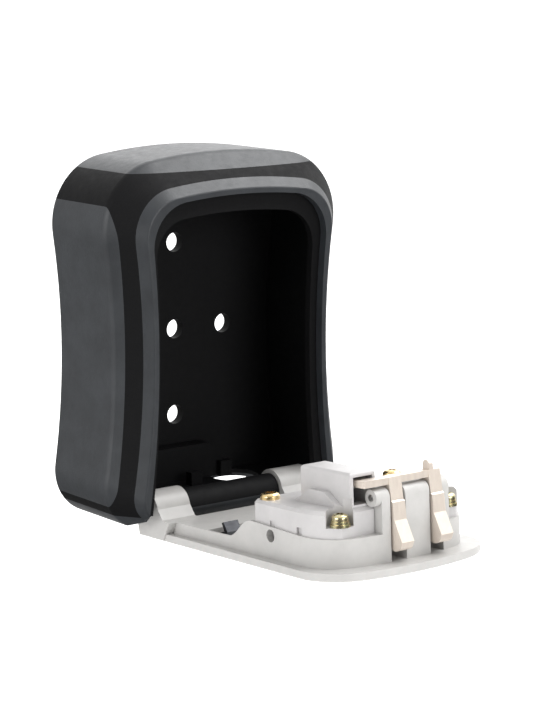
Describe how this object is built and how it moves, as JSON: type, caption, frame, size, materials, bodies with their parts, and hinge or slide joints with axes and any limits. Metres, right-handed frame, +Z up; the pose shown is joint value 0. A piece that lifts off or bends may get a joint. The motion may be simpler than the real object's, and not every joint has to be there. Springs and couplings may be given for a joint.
{
  "type": "key lock box",
  "caption": "Wall-mounted key lock box with a fold-down door on a bottom hinge, combination dials with code sleeves, a sprung latch and a dial shutter.",
  "frame": {"origin": "the middle wall screw hole, on the flat back that lies against the wall; it is also the centre of the upright pair and of the level pair of screw holes", "axes": "+X right as seen from in front, +Z up the wall, +Y into the wall; the door folds down towards -Y"},
  "size_m": [0.0894, 0.1247, 0.1182],
  "materials": {
    "housing_paint": "satin, fine grain",
    "door_casting": "satin",
    "cover_casting": "satin",
    "yellow_zinc": "satin",
    "brass": "satin",
    "steel": "satin",
    "spring_steel": "satin",
    "nickel_steel": "satin",
    "dark_steel": "satin",
    "black_plastic": "matte",
    "dial_plastic": "satin",
    "sleeve_brass": "satin"
  },
  "bodies": {
    "box": {"housing": "housing_paint", "hinge_pin": "steel"},
    "door": {"door_panel": "door_casting", "lock_cover": "cover_casting", "cover_screws_front": "yellow_zinc", "spring_washers": "yellow_zinc", "flat_washers": "yellow_zinc", "cover_screws_rear": "brass", "latch_pin": "steel", "dial_shaft": "steel", "detent_spring": "spring_steel", "latch_spring": "spring_steel", "release_spring": "spring_steel"},
    "latch": {"latch": "nickel_steel"},
    "release": {"open_slider": "black_plastic", "release_rod": "steel", "release_screw": "steel"},
    "reset_lever": {"reset_lever": "dark_steel"},
    "shutter": {"shutter": "black_plastic"},
    "dial_1": {"dial_1": "dial_plastic", "sleeve_1": "sleeve_brass"},
    "dial_2": {"dial_2": "dial_plastic", "sleeve_2": "sleeve_brass"},
    "dial_3": {"dial_3": "dial_plastic", "sleeve_3": "sleeve_brass"},
    "dial_4": {"dial_4": "dial_plastic", "sleeve_4": "sleeve_brass"}
  },
  "joints": [
    {"name": "door_hinge", "type": "hinge", "parent": "box", "child": "door", "pos_m": [0, -0.0302, -0.0498], "axis": [-1, 0, 0], "range_deg": [0, 86.5]},
    {"name": "latch_turn", "type": "hinge", "parent": "door", "child": "latch", "pos_m": [0, -0.11389, -0.03226], "axis": [1, 0, 0], "range_deg": [0, 13], "stiffness_Nm_per_rad": 0.05, "springref_deg": -11.46, "deforming": ["latch_spring"]},
    {"name": "release_slide", "type": "slide", "parent": "door", "child": "release", "axis": [0, -0.9981, 0.061], "range_m": [0, 0.0012], "deforming": ["release_spring"]},
    {"name": "reset_slide", "type": "slide", "parent": "door", "child": "reset_lever", "axis": [1, 0, 0], "range_m": [0, 0.0044]},
    {"name": "shutter_slide", "type": "slide", "parent": "door", "child": "shutter", "axis": [0, 0.9981, -0.061], "range_m": [0, 0.0345]},
    {"name": "dial_1_turn", "type": "hinge", "parent": "door", "child": "dial_1", "pos_m": [0, -0.08907, -0.0458], "axis": [1, 0, 0], "continuous": true},
    {"name": "dial_2_turn", "type": "hinge", "parent": "door", "child": "dial_2", "pos_m": [0, -0.08907, -0.0458], "axis": [1, 0, 0], "continuous": true},
    {"name": "dial_3_turn", "type": "hinge", "parent": "door", "child": "dial_3", "pos_m": [0, -0.08907, -0.0458], "axis": [1, 0, 0], "continuous": true},
    {"name": "dial_4_turn", "type": "hinge", "parent": "door", "child": "dial_4", "pos_m": [0, -0.08907, -0.0458], "axis": [1, 0, 0], "continuous": true}
  ],
  "couplings": [
    {"joint": "release_slide", "follows": "latch_turn", "m_per_rad": 0.0052883}
  ]
}
